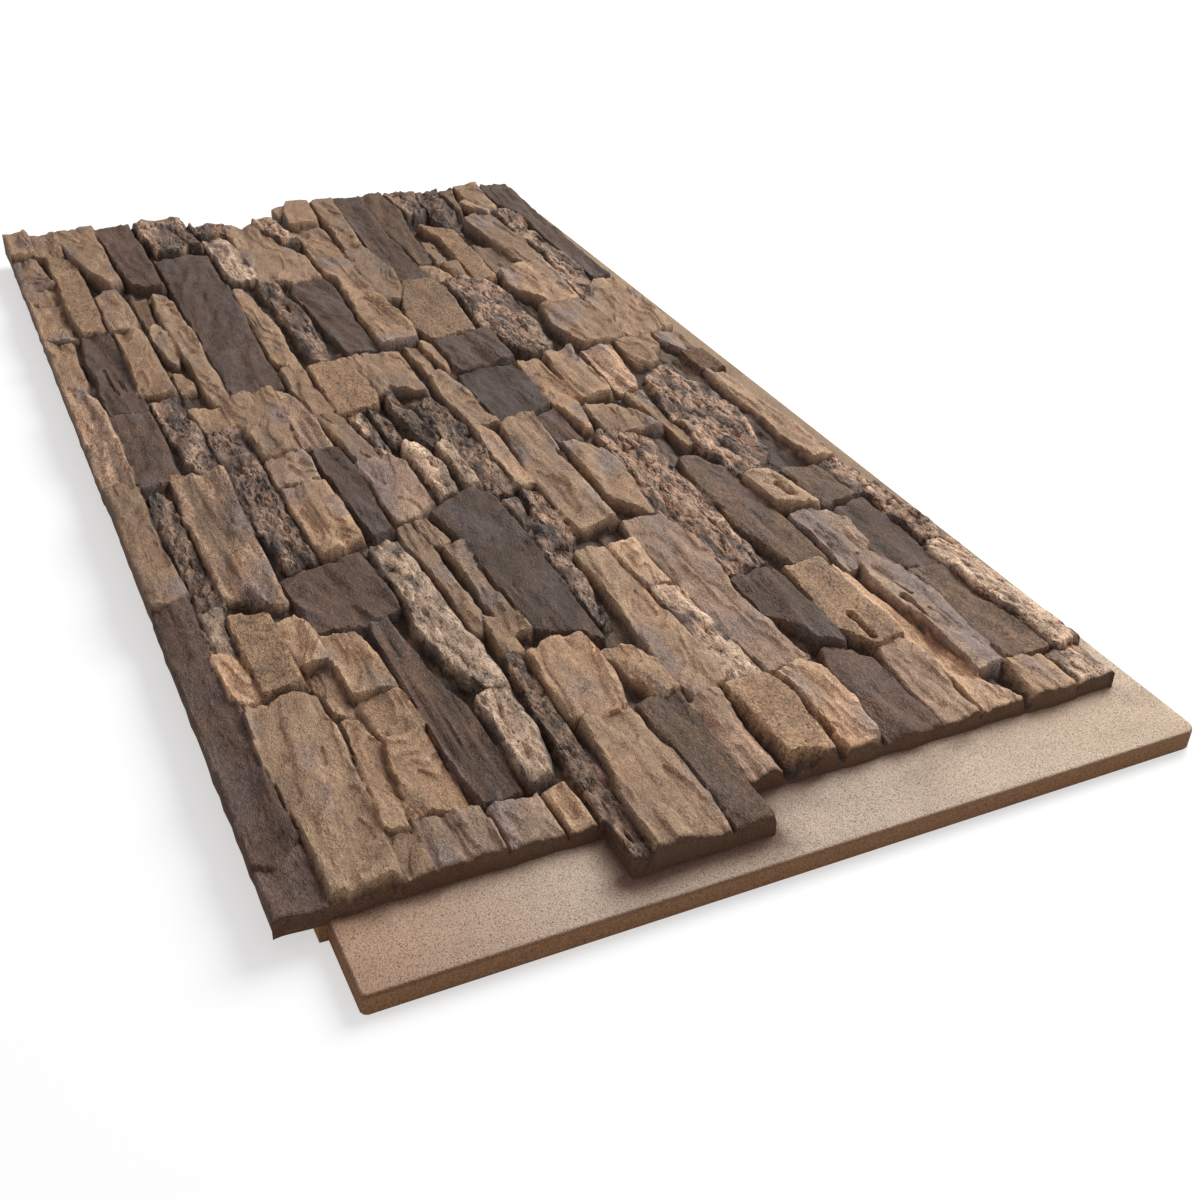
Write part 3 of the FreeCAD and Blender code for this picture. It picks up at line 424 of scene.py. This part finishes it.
paints = {"t": tone(166, 131, 103), "p": tone(168, 130, 99), "k": tone(178, 141, 114),
          "m": tone(164, 132, 110), "l": tone(214, 177, 149), "c": tone(184, 146, 121), "b": tone(120, 82, 56),
          "s": tone(101, 75, 60), "o": tone(120, 90, 69), "g": tone(102, 76, 60)}
joint, chipped = tone(80, 62, 52), tone(124, 99, 80)
dark_wash, slate_wash, mauve_wash = tone(80, 65, 59), tone(108, 95, 96), tone(136, 119, 117)
undercoat_and_shade, rim_brown, foot_line = tone(106, 74, 58), tone(164, 120, 86), tone(112, 84, 64)
cream, painted_lit_cream, side_strip_cream = tone(223, 197, 176), tone(232, 203, 176), tone(168, 137, 108)
# A + or a - after a finish makes its paint one step lighter or darker.
shade_step = 1.16


def washed(kind, number, own, x, y, edge):
    """A stone's own paint with its blots and washes; edge is the distance from the stone's side."""
    blot = noise(x, y, 34, 18, 900 + number, 2)[:, None]
    mottle = noise(x, y, 11, 7, 1100 + number, 3)[:, None]
    own = own * (1 + 0.15 * blot + 0.15 * mottle)
    if kind in "tpbk":
        rusty = np.clip(noise(x, y, 28, 14, 1900 + number, 2) * 1.6 - 0.4, 0, 1)[:, None]
        own = own * (1 + rusty * (0.0, -0.05, -0.10))
    if kind in "cl":
        stain = 1.3 * np.clip(1 - edge / 4.5, 0, 1) - (0.35 if kind == "c" else 1.0)
        patina = np.clip(noise(x, y, 24, 8, 1200 + number, 3) * 2.4 + stain, 0, 1)[:, None]
        own = blend(own, dark_wash, 0.75 * patina)
    if kind in "scog":
        slate = np.clip(noise(x, y, 30, 15, 1700 + number, 2) * 1.8 - 0.2, 0, 1)[:, None]
        own = blend(own, slate_wash, 0.3 * slate)
    if kind in "kg":
        streak = np.clip(noise(x, y, 60, 4, 2100 + number, 3) * 1.6, -0.4, 1)[:, None]
        own = own * (1 - 0.42 * streak)
    if kind in "tmk":
        spare = 0.2 if kind == "m" else 0.75
        mauve = np.clip(noise(x, y, 45, 20, 1500 + number, 2) * 2 - spare, 0, 1)[:, None]
        own = blend(own, mauve_wash, 0.6 * mauve)
    return own


# Chips of tan show on the bed's higher parts. The traits are pits, dark weights, crust and flange.
chips = np.clip(0.35 + 1.2 * noise(gx, gy, 26, 8, 13, 3), 0, 1) * np.clip((height - 16.5) / 3, 0, 1)
colour = blend(joint, chipped, chips[..., None])
traits = np.zeros(gx.shape + (4,))
vary = np.random.default_rng(8).uniform(-1, 1, (len(stones), 2))
ridge = height - soft(height, 1)
swell = height - soft(height, 4)
for number, (finish, start, end, outline) in enumerate(stones):
    mine = owner == number
    if not mine.any():
        continue
    kind = finish[0]
    own = paints[kind] * (1 + 0.04 * vary[number, 0]) * shade_step ** (finish.count("+") - finish.count("-"))
    own = own * (1 + np.array([0.03, 0, -0.03]) * vary[number, 1])
    own = washed(kind, number, own, gx[mine], gy[mine], within[mine])
    # Ridges get painted highlights and hollows painted shade, on top of the paint rubbed light on ridges and
    # the dark wash in hollows.
    gain = {"c": 0.30, "l": 0.26, "k": 0.28, "g": 0.3}.get(kind, 0.24)
    broad_gain = 0.11 if kind in "cl" else 0.04
    darkest = -0.6 if kind in "clkg" else -0.36
    shading = np.clip(ridge[mine] * gain + swell[mine] * broad_gain, darkest, 0.35)[:, None]
    own = own * (1 + shading * (0.84, 1.02, 1.06))
    own = own * (1 - 0.12 * np.clip(1 - within[mine] / 1.5, 0, 1))[:, None]
    # Down its sides a stone gets painted shade, darker and redder towards its foot, and far down it turns to
    # the joint's dark colour.
    clear = np.clip(1 - (under[mine] - 1.8) / 4.0, 0, 1)[:, None]
    deep = np.clip((under[mine] - 2.5) / 8, 0, 1)[:, None]
    foot = blend(own * (0.6, 0.55, 0.53), joint, deep)
    colour[mine] = blend(foot, own, clear)
    traits[mine, 0] = kind in "pb"
    traits[mine, 1] = {"s": 0.5, "o": 1.0, "g": 1.0, "k": 0.8, "b": 1.0}.get(kind, 0.0)
    traits[mine, 2] = {"c": 1.0, "l": 0.6}.get(kind, 0.0)

# The flange is cream, with painted light that makes it lighter towards +Y, and its side strip is a darker
# cream towards -X.
plain = owner == -2
traits[plain, 3] = 1
painted_light_share = np.clip((gy - 60) / 200, 0, 1)[..., None]
upper = (np.clip((440 - gx) / 160, 0, 1) * (gy > field_side))[..., None]
flange_paint = blend(blend(cream, painted_lit_cream, painted_light_share), side_strip_cream, upper)
flange_paint = flange_paint * (1 + 0.05 * noise(gx, gy, 90, 40, 71, 3))[..., None]
flange_paint[drop > 0.55] = rim_brown
colour = np.where(plain[..., None], flange_paint, colour)
# The moulding's straight fronts keep the dark undercoat. The flange at their foot takes its brown too, partly
# overspray and partly painted shade, deepest beside the tongue, where the tongue's shadow falls.
near_foot = np.exp(np.minimum(in_field, 0) / 7) * plain * (gx > field_end - 1)
past_tongue = np.hypot(np.clip(gx - tongue_end, 0, None), np.clip(np.abs(gy + 56) - 45, 0, None))
shade_and_overspray = near_foot * (0.45 + 0.6 * np.clip(1.6 - past_tongue / 14, 0, 1) + 0.2 * noise(gx, gy, 40, 40, 73, 2))
shade_and_overspray += 0.3 * np.clip(1 + in_field / 6, 0, 1) * plain * (gx < field_end - 1)
smudge = np.clip(1.9 * noise(gx, gy, 26, 60, 74, 3), 0, 0.7)
shade_and_overspray += 0.75 * smudge * plain * np.exp(np.minimum(in_field, 0) / 30)
colour = blend(colour, undercoat_and_shade, np.clip(shade_and_overspray, 0, 0.85)[..., None])
# Painted shade: it turns darker and browner towards its -Y end.
painted_shade_low_y = 0.2 * np.clip((-130 - gy) / 110, 0, 1)
colour *= 1 - (painted_shade_low_y * plain)[..., None] * (1, 1.7, 2.1)
colour[(np.abs(in_field) < 0.2) & (gx > -540) & (gy > -280)] = foot_line

# Mesh: the top over the footprint, straight sides, and a flat underside with the lap recesses.
cell_x, cell_y = np.meshgrid((xs[:-1] + xs[1:]) / 2, (ys[:-1] + ys[1:]) / 2, indexing="ij")
solid = ~((cell_x < notch_end) & (cell_y > notch_low) & (cell_y < notch_high))
solid &= ~((cell_x > field_end) & (cell_y < flange_start))
solid &= ~((cell_x < lap_end) & (cell_y > field_side))
used = np.zeros(gx.shape, bool)
for di in (0, 1):
    for dj in (0, 1):
        used[di:di + solid.shape[0], dj:dj + solid.shape[1]] |= solid
index = np.full(gx.shape, -1)
index[used] = np.arange(used.sum())
ci, cj = np.nonzero(solid)
quads = np.stack([index[ci, cj], index[ci + 1, cj], index[ci + 1, cj + 1], index[ci, cj + 1]], 1)

# Rim of the footprint, in order, counter-clockwise, from where the board starts at -Y.
following = {}
padded = np.pad(solid, 1)
for a, b, di, dj in ((0, 1, 0, -1), (1, 2, 1, 0), (2, 3, 0, 1), (3, 0, -1, 0)):
    open_side = solid & ~padded[1 + di:1 + di + solid.shape[0], 1 + dj:1 + dj + solid.shape[1]]
    for q in np.nonzero(open_side[ci, cj])[0]:
        following[int(quads[q, a])] = int(quads[q, b])
rim = [int(index[np.searchsorted(xs, field_end + hair), np.searchsorted(ys, lap_side)])]
while following[rim[-1]] != rim[0]:
    rim.append(following[rim[-1]])


def foot_height(x, y):
    """Height of the underside just inside the rim: the laps hang over at -X and -Y."""
    return board if x < lap_end - 0.1 or y < lap_side - 0.1 else 0.0


# Edges of real stones aren't ruled: each front stands a little proud or shy of its neighbours.
front = np.append(vary[:, 0], [0, 0])


def wander(line, along, seed, reach):
    """How far the stones' fronts along one side stray, in millimetres."""
    stray = 0.5 * front[owner[line]] + 0.35 * noise(along, along * 0, 14, 9, seed, 2)
    return reach * np.convolve(stray, np.ones(3) / 3, "same")


def beside(distance, reach):
    """1 on a front's line, fading to 0 at reach from it."""
    return np.clip(1 - np.abs(distance) / reach, 0, 1)


every = slice(None)
far_front = wander((0, every), ys, 61, 2.2)
end_front = wander((int(np.searchsorted(xs, field_end - hair)), every), ys, 62, 2.4)
tip_front = wander((int(np.searchsorted(xs, tongue_end - hair)), every), ys, 63, 1.8)
side_front = wander((every, int(np.searchsorted(ys, field_side - hair))), xs, 64, 2.0)
low_front = wander((every, 0), xs, 65, 1.2)
off_tongue = (gy < tongue_low - 3) | (gy > tongue_high + 3)
moved_x = gx + (1.6 + far_front) * beside(gx + half_length, 24) * (gx <= notch_end + 10) * (in_field >= 0)
moved_x += end_front * beside(gx - field_end, 14) * off_tongue * (gy < field_side - 1) * (gy > 1 - half_width)
moved_x += tip_front * beside(gx - tongue_end, 12) * (gy > tongue_low + 1) * (gy < tongue_high - 1)
moved_y = gy + (side_front[:, None] - 0.8) * beside(gy - field_side, 16) * (gx < 487) * (gx > -486)
moved_y += (0.8 + low_front[:, None]) * beside(gy + half_width, 16) * (gx < 489) * (gx > -544)
# The flange's corners are rounded in plan.
for corner_y, outward, reach in ((half_width, 1, 9), (flange_start, -1, 4)):
    u = np.clip((gx - half_length + reach) / reach, 0, 1)
    v = np.clip((outward * (gy - corner_y) + reach) / reach, 0, 1)
    pull = np.where((u > 0) & (v > 0), np.maximum(u, v) / np.maximum(np.hypot(u, v), 1e-9), 1.0)
    moved_x = np.where(pull < 1, half_length - reach + reach * u * pull, moved_x)
    moved_y = np.where(pull < 1, corner_y - outward * reach * (1 - v * pull), moved_y)

verts = [tuple(p) for p in np.stack([moved_x[used], moved_y[used], surface[used]], 1)]
top_count = len(verts)
faces = [tuple(q) for q in quads.tolist()]
stone_look, foam_look, rim_look = 0, 1, 2
looks = [stone_look] * len(faces)
below = []
for r in rim:
    below.append(len(verts))
    verts.append((verts[r][0], verts[r][1], foot_height(float(gx[used][r]), float(gy[used][r]))))
change = [verts[b][2] for b in below].index(board)
corner_a, corner_b, lap_a, lap_b = range(len(verts), len(verts) + 4)
verts += [(lap_end, lap_side, 0.0), (lap_end, lap_side, board),
          (*verts[rim[change - 1]][:2], board), (*verts[rim[0]][:2], board)]
for k, r in enumerate(rim):
    n = (k + 1) % len(rim)
    low_r = lap_a if k == change - 1 else below[k]
    low_n = lap_b if n == 0 else below[n]
    # The walls beside a lap's open end take in its corner, so that the surface closes.
    corner_r = [lap_b] if k == 0 else []
    corner_n = [lap_a] if n == change - 1 else []
    faces.append((r, *corner_r, low_r, low_n, *corner_n, rim[n]))
    on_board = verts[r][2] < board - 1.5 and foot_height(*verts[r][:2]) == 0
    looks.append(rim_look if on_board else stone_look)
plate, ceiling = below[:change], below[change:]
faces += [tuple(reversed(plate + [corner_a])), tuple(reversed([lap_a] + ceiling + [lap_b, corner_b])),
          (plate[-1], corner_a, corner_b, lap_a), (corner_a, plate[0], lap_b, corner_b)]
looks += [foam_look] * 4

mesh = bpy.data.meshes.new("panel_relief")
mesh.from_pydata([(x / 1000, y / 1000, z / 1000) for x, y, z in verts], [], faces)
mesh.polygons.foreach_set("material_index", looks)
paint_values = np.ones((len(verts), 4), np.float32)
paint_values[:top_count, :3] = colour[used]
paint_values[top_count:, :3] = tone(118, 88, 66)
trait_values = np.zeros((len(verts), 4), np.float32)
trait_values[:top_count] = traits[used]
for name, values in (("paint", paint_values), ("finish", trait_values)):
    layer = mesh.attributes.new(name, "FLOAT_COLOR", "POINT")
    layer.data.foreach_set("color", values.ravel())
panel = bpy.data.objects.new("panel_piece", mesh)
bpy.context.scene.collection.objects.link(panel)
mesh.validate()
# Thinned where the form allows, but not at the stones' foot or the flange's rim. A sparse net of
# the flange's points stays too, to hold its colour.
kept_points = ((in_field < 1.8) & (in_field > -9)) | ((free < 3.2) & (in_field < 0))
every_seventh = (np.arange(len(xs))[:, None] % 7 == 0) & (np.arange(len(ys))[None, :] % 7 == 0)
kept_points |= (in_field < 0) & every_seventh
kept = np.zeros(len(verts), bool)
kept[:top_count] = kept_points[used]
loose = panel.vertex_groups.new(name="loose")
loose.add([int(v) for v in np.nonzero(~kept)[0]], 1.0, "REPLACE")
thin = panel.modifiers.new("thin", "DECIMATE")
thin.ratio = 0.34
thin.vertex_group = "loose"
baked = bpy.data.meshes.new_from_object(panel.evaluated_get(bpy.context.evaluated_depsgraph_get()))
panel.modifiers.clear()
panel.data = baked
baked.shade_smooth()
baked.set_sharp_from_angle(angle=math.radians(38))

# Painted stone: the vertex colours, broken up by felted fibres, grit, pits and crust.
look = bpy.data.materials.new("painted_stone")
look.use_nodes = True
tree = look.node_tree
shader = tree.nodes["Principled BSDF"]
shader.inputs["Specular IOR Level"].default_value = 0.4


def node(kind, **values):
    """A new node; plain values are set and outputs of other nodes are wired to the numbered inputs."""
    made = tree.nodes.new(kind)
    for key, value in values.items():
        if not key.startswith("in"):
            setattr(made, key, value)
        elif isinstance(value, bpy.types.NodeSocket):
            tree.links.new(value, made.inputs[int(key[2:])])
        else:
            made.inputs[int(key[2:])].default_value = value
    return made


def sums(operation, a, b, c=0.0):
    """One step of arithmetic on values or outputs."""
    return node("ShaderNodeMath", operation=operation, in0=a, in1=b, in2=c).outputs[0]


def ramp(value, low_end, high_end):
    """0 at low_end and 1 at high_end, whichever is the greater."""
    made = node("ShaderNodeMapRange", in0=value, in1=low_end, in2=high_end, in3=0.0, in4=1.0)
    return made.outputs[0]


def cloud(scale, detail, roughness, distortion, squeeze=(1, 1, 1)):
    """Noise from 0 to 1 in the object's own coordinates."""
    made = node("ShaderNodeTexNoise")
    made.inputs["Scale"].default_value = scale
    made.inputs["Detail"].default_value = detail
    made.inputs["Roughness"].default_value = roughness
    made.inputs["Distortion"].default_value = distortion
    mapped = node("ShaderNodeMapping", in0=place)
    mapped.inputs["Scale"].default_value = squeeze
    tree.links.new(mapped.outputs[0], made.inputs["Vector"])
    return made.outputs["Fac"]


place = node("ShaderNodeTexCoord").outputs["Object"]
paint_in = node("ShaderNodeAttribute", attribute_name="paint")
finish_in = node("ShaderNodeAttribute", attribute_name="finish")
split = node("ShaderNodeSeparateColor", in0=finish_in.outputs["Color"])
pitted, dark_kind, crusty = split.outputs
flat_part = finish_in.outputs["Alpha"]
tree.links.new(sums("MULTIPLY_ADD", flat_part, -0.1, 0.52), shader.inputs["Roughness"])
# Strength of each on each finish; the flange has sand alone.
rock = sums("SUBTRACT", 1.0, flat_part)
fibre = cloud(330, 3, 0.6, 1.8, (0.55, 1.2, 1))
fibre_gain = sums("MULTIPLY_ADD", dark_kind, 1.4, 1.9)
fibre_part = sums("MULTIPLY", sums("SUBTRACT", fibre, 0.5), sums("MULTIPLY", rock, fibre_gain))
grit = cloud(900, 2, 0.6, 0.0)
grit_part = sums("MULTIPLY", sums("SUBTRACT", grit, 0.5), sums("MULTIPLY", rock, 1.5))
sand = cloud(1050, 3, 0.7, 0.0)
specks = sums("MULTIPLY", sums("SUBTRACT", sand, 0.5), 1.7)
specks = sums("MULTIPLY_ADD", ramp(sand, 0.42, 0.34), -0.3, specks)
sand_part = sums("MULTIPLY", specks, flat_part)
broad = cloud(90, 5, 0.65, 0.6, (0.7, 1.2, 1))
broad_part = sums("MULTIPLY", sums("SUBTRACT", broad, 0.5), sums("MULTIPLY", rock, 0.9))
crust = ramp(cloud(170, 5, 0.74, 1.6, (0.4, 1.3, 1)), 0.44, 0.52)
crust_part = sums("MULTIPLY", sums("SUBTRACT", crust, 1.0), sums("MULTIPLY", crusty, 0.55))
pit_mask = ramp(cloud(420, 2, 0.5, 0.4), 0.40, 0.50)
pit_part = sums("MULTIPLY", sums("SUBTRACT", pit_mask, 1.0), sums("MULTIPLY", pitted, 0.35))
# Fine cracks, many in the crust and a few in the plain stones.
crack_field = sums("SUBTRACT", cloud(55, 4, 0.62, 0.9, (0.35, 1.3, 1)), 0.5)
crackle = ramp(sums("ABSOLUTE", crack_field, 0.0), 0.004, 0.022)
crack_gain = sums("ADD", sums("MULTIPLY", crusty, 0.5), sums("MULTIPLY", rock, 0.12))
crack_part = sums("MULTIPLY", sums("SUBTRACT", crackle, 1.0), crack_gain)
texture = 1.0
for part in (fibre_part, grit_part, sand_part, crust_part, pit_part, crack_part, broad_part):
    texture = sums("ADD", part, texture)
broken = node("ShaderNodeMix", data_type="RGBA", blend_type="MULTIPLY", in0=1.0,
              in6=paint_in.outputs["Color"], in7=texture)
tree.links.new(broken.outputs[2], shader.inputs["Base Color"])
bump = node("ShaderNodeBump")
bump.inputs["Strength"].default_value = 0.7
bump.inputs["Distance"].default_value = 0.0012
tree.links.new(texture, bump.inputs["Height"])
tree.links.new(bump.outputs["Normal"], shader.inputs["Normal"])
baked.materials.append(look)

# The bare foam of the back, and the board's edges in sprayed brown.
for name, spray in (("raw_foam", tone(196, 158, 96)), ("painted_rim", tone(157, 119, 87))):
    made = bpy.data.materials.new(name)
    made.use_nodes = True
    tree = made.node_tree
    shader = tree.nodes["Principled BSDF"]
    shader.inputs["Roughness"].default_value = 0.8
    shader.inputs["Specular IOR Level"].default_value = 0.2
    place = node("ShaderNodeTexCoord").outputs["Object"]
    speckle = sums("MULTIPLY_ADD", cloud(900, 3, 0.7, 0.0), 2.4, -0.2)
    sprayed = node("ShaderNodeMix", data_type="RGBA", blend_type="MULTIPLY", in0=1.0,
                   in6=(*spray, 1), in7=speckle)
    tree.links.new(sprayed.outputs[2], shader.inputs["Base Color"])
    baked.materials.append(made)
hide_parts("panel")
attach(panel, "root")

# Floor: a plain pale studio paper that runs into the background. Away from the panel it glows
# brighter, as the lamp falls off.
bpy.ops.mesh.primitive_plane_add(size=40, location=(0, 0, -0.0002))
floor = bpy.context.object
floor.name = "floor"
paper = bpy.data.materials.new("paper")
paper.use_nodes = True
tree = paper.node_tree
paper_shader = tree.nodes["Principled BSDF"]
paper_shader.inputs["Roughness"].default_value = 0.9
paper_shader.inputs["Specular IOR Level"].default_value = 0.0
camera_ray = node("ShaderNodeLightPath").outputs["Is Camera Ray"]
pale = node("ShaderNodeMix", data_type="RGBA", in0=camera_ray,
            in6=(0.45, 0.44, 0.43, 1), in7=(0.55, 0.55, 0.55, 1))
tree.links.new(pale.outputs[2], paper_shader.inputs["Base Color"])
place = node("ShaderNodeTexCoord").outputs["Object"]
away = node("ShaderNodeVectorMath", operation="LENGTH", in0=place).outputs["Value"]
near_glow, far_glow = 0.52, 0.8
glow = node("ShaderNodeMapRange", in0=away, in1=1.0, in2=4.0, in3=near_glow, in4=far_glow).outputs[0]
paper_shader.inputs["Emission Color"].default_value = (1, 1, 1, 1)
tree.links.new(sums("MULTIPLY", camera_ray, glow), paper_shader.inputs["Emission Strength"])
floor.data.materials.append(paper)

# Camera, above the near left corner, turned a little off level.
scene = bpy.context.scene
scene.view_settings.view_transform = "Standard"
camera_data = bpy.data.cameras.new("camera")
camera_data.sensor_width = 36.0
camera_data.lens = 44.11
camera_data.clip_start = 0.05
camera_data.clip_end = 60.0
camera = bpy.data.objects.new("camera", camera_data)
scene.collection.objects.link(camera)
stand = Vector((1.0314, -0.3896, 0.5745))
yaw, pitch, roll = (math.radians(a) for a in (152.81, -33.25, 2.87))
forward = Vector((math.cos(pitch) * math.cos(yaw), math.cos(pitch) * math.sin(yaw), math.sin(pitch)))
sideways = forward.cross(Vector((0, 0, 1))).normalized()
upright = sideways.cross(forward)
right = sideways * math.cos(roll) + upright * math.sin(roll)
up = upright * math.cos(roll) - sideways * math.sin(roll)
camera.matrix_world = Matrix((*(tuple(row) for row in zip(right, up, -forward, stand)), (0, 0, 0, 1)))
scene.camera = camera

# Light: an even sky, pure white to the camera, and one wide soft lamp behind the panel on its right.
world = bpy.data.worlds.new("world")
scene.world = world
world.use_nodes = True
tree = world.node_tree
sky = tree.nodes["Background"]
sky.inputs["Color"].default_value = (1, 0.955, 0.96, 1)
camera_ray = node("ShaderNodeLightPath").outputs["Is Camera Ray"]
tree.links.new(sums("MULTIPLY_ADD", camera_ray, 0.56, 0.453), sky.inputs["Strength"])
lamp_data = bpy.data.lights.new("lamp", "AREA")
lamp_data.shape = "DISK"
lamp_data.size = 1.6
lamp_data.energy = 59.5
lamp_data.color = (0.93, 1, 0.99)
lamp = bpy.data.objects.new("lamp", lamp_data)
scene.collection.objects.link(lamp)
lamp.location = (-0.5, 1.6, 1.7)
lamp.rotation_euler = (Vector((0.1, 0, 0)) - lamp.location).to_track_quat("-Z", "Y").to_euler()
